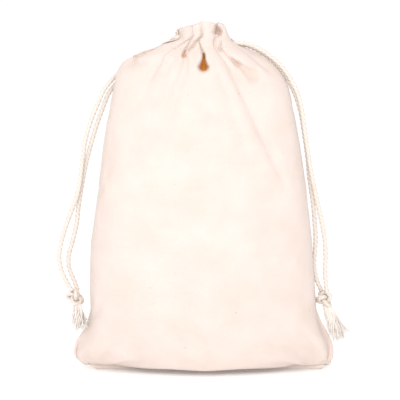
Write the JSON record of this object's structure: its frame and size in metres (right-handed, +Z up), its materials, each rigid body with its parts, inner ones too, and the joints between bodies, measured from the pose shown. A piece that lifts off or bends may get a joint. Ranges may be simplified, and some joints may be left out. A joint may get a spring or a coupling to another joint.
{
  "type": "drawstring gift sack",
  "caption": "Small plump cotton sack, its mouth cinched to a ruffle by two cords whose knotted, frayed ends hang beside it.",
  "frame": {"origin": "on the surface that the sack stands on, under the middle of its box without the free cords", "axes": "+Z up from the base to the ruffle, front panel towards -Y, +X to the right seen from the front"},
  "size_m": [0.1362, 0.052, 0.169],
  "materials": {
    "cotton_cloth": "unbleached plain weave, matt",
    "cotton_cord": "twisted natural cotton, matt",
    "frayed_cotton": "loose natural fibres, matt",
    "sewing_thread": "twisted thread, soft sheen"
  },
  "bodies": {
    "sack": {"front_panel": "cotton_cloth", "back_panel": "cotton_cloth", "front_hem": "cotton_cloth", "back_hem": "cotton_cloth", "left_seam_thread": "sewing_thread", "right_seam_thread": "sewing_thread", "bottom_seam_thread": "sewing_thread", "front_channel_stitches": "sewing_thread", "back_channel_stitches": "sewing_thread", "left_vent_tack": "sewing_thread", "right_vent_tack": "sewing_thread", "left_cord_loop": "cotton_cord", "right_cord_loop": "cotton_cord"},
    "left_lead": {"left_cord_lead": "cotton_cord"},
    "left_tail": {"left_front_strand": "cotton_cord", "left_back_strand": "cotton_cord", "left_knot": "cotton_cord", "left_frayed_ends": "frayed_cotton"},
    "right_lead": {"right_cord_lead": "cotton_cord"},
    "right_tail": {"right_front_strand": "cotton_cord", "right_back_strand": "cotton_cord", "right_knot": "cotton_cord", "right_frayed_ends": "frayed_cotton"}
  },
  "joints": [
    {"name": "left_drawstring_pull", "type": "slide", "parent": "sack", "child": "left_lead", "axis": [-1, 0, 0], "range_m": [0, 0.006]},
    {"name": "left_tail_swing", "type": "hinge", "parent": "left_lead", "child": "left_tail", "pos_m": [-0.0138, 0, 0.1614], "axis": [0, 1, 0], "range_deg": [0, 80]},
    {"name": "right_drawstring_pull", "type": "slide", "parent": "sack", "child": "right_lead", "axis": [1, 0, 0], "range_m": [0, 0.006]},
    {"name": "right_tail_swing", "type": "hinge", "parent": "right_lead", "child": "right_tail", "pos_m": [0.0158, 0, 0.1586], "axis": [0, -1, 0], "range_deg": [0, 80]}
  ]
}
